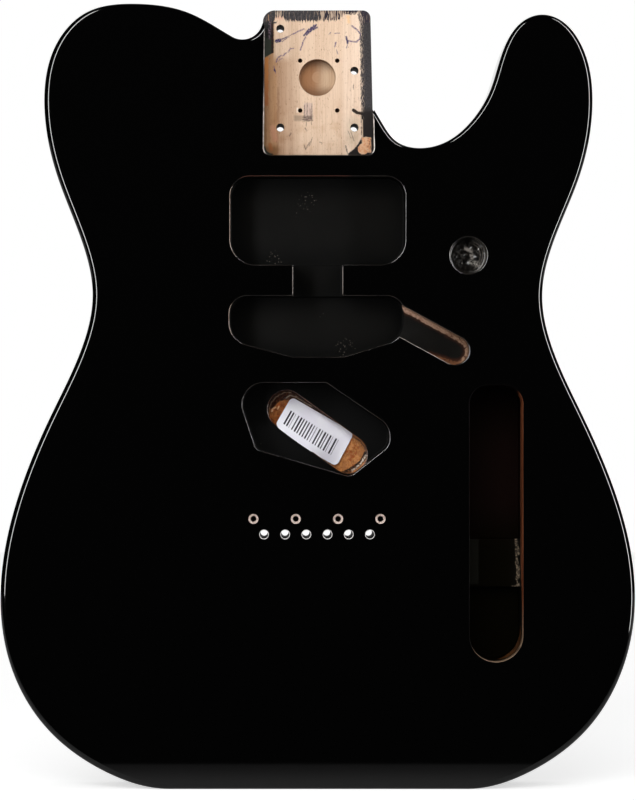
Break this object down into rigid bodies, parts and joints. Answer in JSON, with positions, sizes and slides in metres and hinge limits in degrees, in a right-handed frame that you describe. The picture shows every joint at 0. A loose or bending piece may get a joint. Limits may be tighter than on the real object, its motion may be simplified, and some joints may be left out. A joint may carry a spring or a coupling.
{
  "type": "electric guitar body",
  "caption": "Solid single-cutaway electric guitar body, glued from wood staves, with neck pocket, pickup, bridge and control routs, bare of fittings.",
  "frame": {"origin": "centre of the tail end, under the middle of the body's width and thickness", "axes": "+Z along the string line from the tail towards the neck, -Y out of the front face, +X towards the treble side"},
  "size_m": [0.324, 0.0444, 0.401],
  "materials": {
    "lacquered_alder": "polished black lacquer outside, sealed black paint in the routs, bare alder in the neck pocket and the deep slot",
    "label_paper": null
  },
  "bodies": {
    "root": {"bass_outer_stave": "lacquered_alder", "bass_centre_stave": "lacquered_alder", "treble_centre_stave": "lacquered_alder", "treble_outer_stave": "lacquered_alder", "paper_label": "label_paper"}
  },
  "joints": []
}
